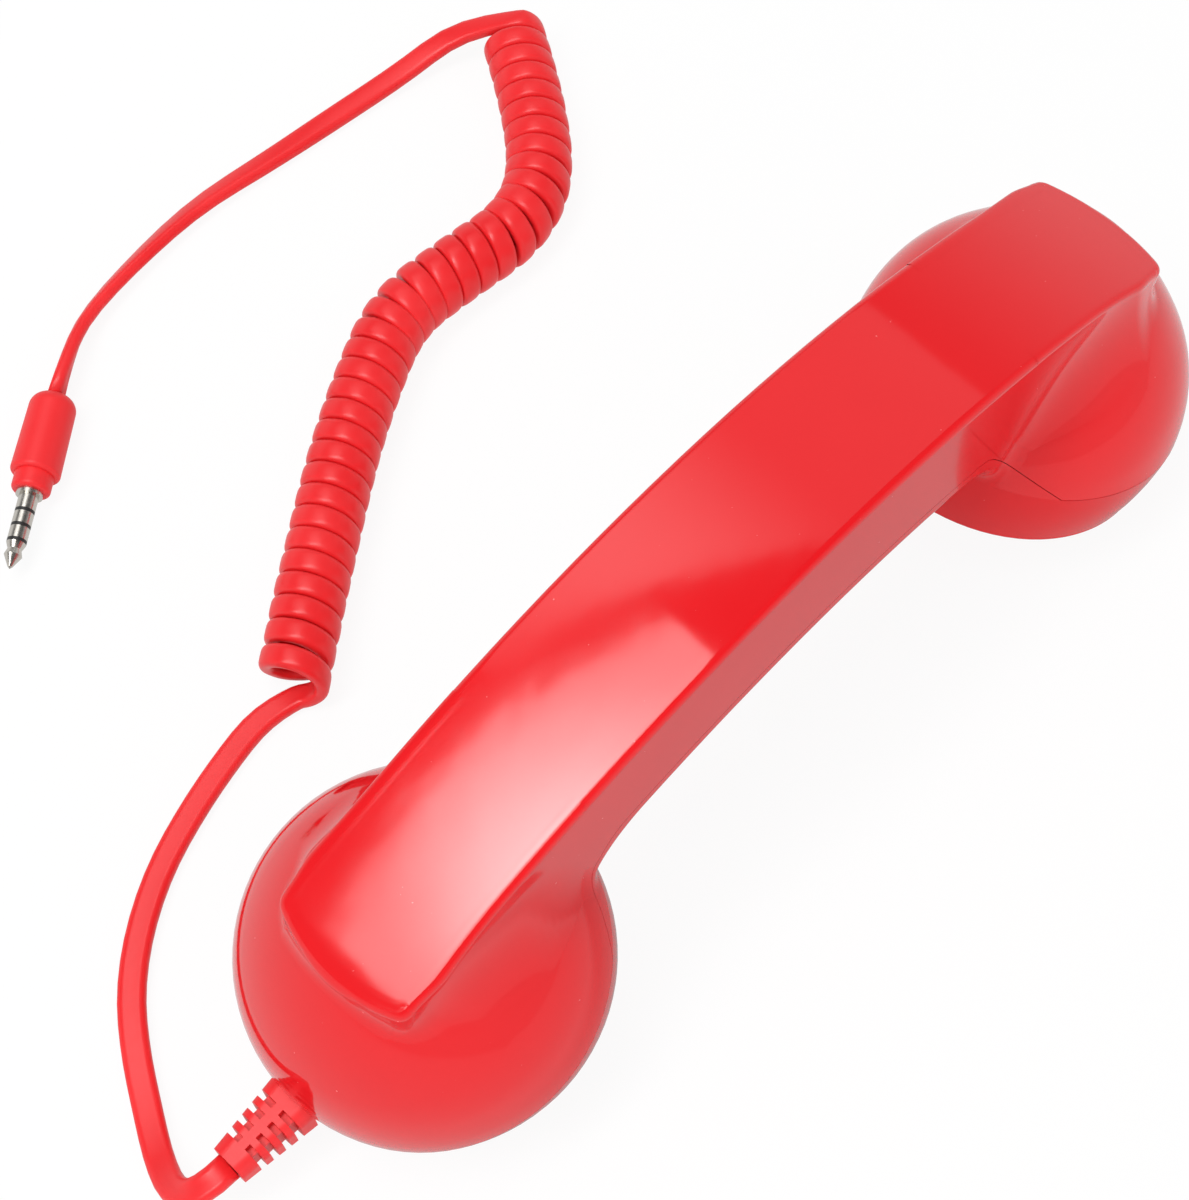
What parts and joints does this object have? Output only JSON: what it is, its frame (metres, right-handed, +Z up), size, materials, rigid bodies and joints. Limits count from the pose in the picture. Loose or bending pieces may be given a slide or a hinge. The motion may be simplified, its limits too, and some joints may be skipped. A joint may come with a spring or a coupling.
{
  "type": "telephone handset",
  "caption": "Retro-style telephone handset: arched handle between two round cups, curly cord, ribbed strain relief and a straight audio plug.",
  "frame": {"origin": "on the surface the handset lies on, midway between the two cups and under the middle of the handle", "axes": "+X from the mouth cup to the ear cup, +Z up, so the cups face down and the handle's flat arch faces up"},
  "size_m": [0.2258, 0.1726, 0.0714],
  "materials": {
    "housing": "polished",
    "cap": "polished",
    "button": "polished",
    "cord": "satin",
    "moulded_plug": "satin",
    "strain_relief": "satin",
    "nickel": "polished",
    "insulator": "satin",
    "screw": "satin",
    "gasket": "matte",
    "speaker_frame": "satin",
    "cone": "matte",
    "magnet": "satin",
    "capsule": "satin",
    "board": "satin",
    "component": "matte",
    "clamp": "matte"
  },
  "bodies": {
    "handset": {"back_shell": "housing", "front_shell": "housing", "ear_cap": "cap", "mouth_cap": "cap", "shell_screws": "screw", "speaker_gasket": "gasket", "speaker_frame": "speaker_frame", "speaker_cone": "cone", "speaker_magnet": "magnet", "microphone_boot": "gasket", "microphone_capsule": "capsule", "tact_switch": "component", "circuit_board": "board", "amplifier_chip": "component", "board_screws": "screw", "strain_relief": "strain_relief", "cord_clamp": "clamp", "clamp_screws": "screw", "inner_cord": "cord", "speaker_leads": "cord", "microphone_leads": "cord", "cord_lead": "cord", "cord_coil": "cord", "cord_tail": "cord", "plug_body": "moulded_plug", "plug_sleeve": "nickel", "plug_ring_one": "nickel", "plug_ring_two": "nickel", "plug_tip": "nickel", "plug_insulators": "insulator"},
    "button": {"answer_button": "button", "switch_plunger": "component"}
  },
  "joints": [
    {"name": "button_press", "type": "slide", "parent": "handset", "child": "button", "axis": [0, 0, 1], "range_m": [0, 0.0005], "stiffness_N_per_m": 400}
  ]
}
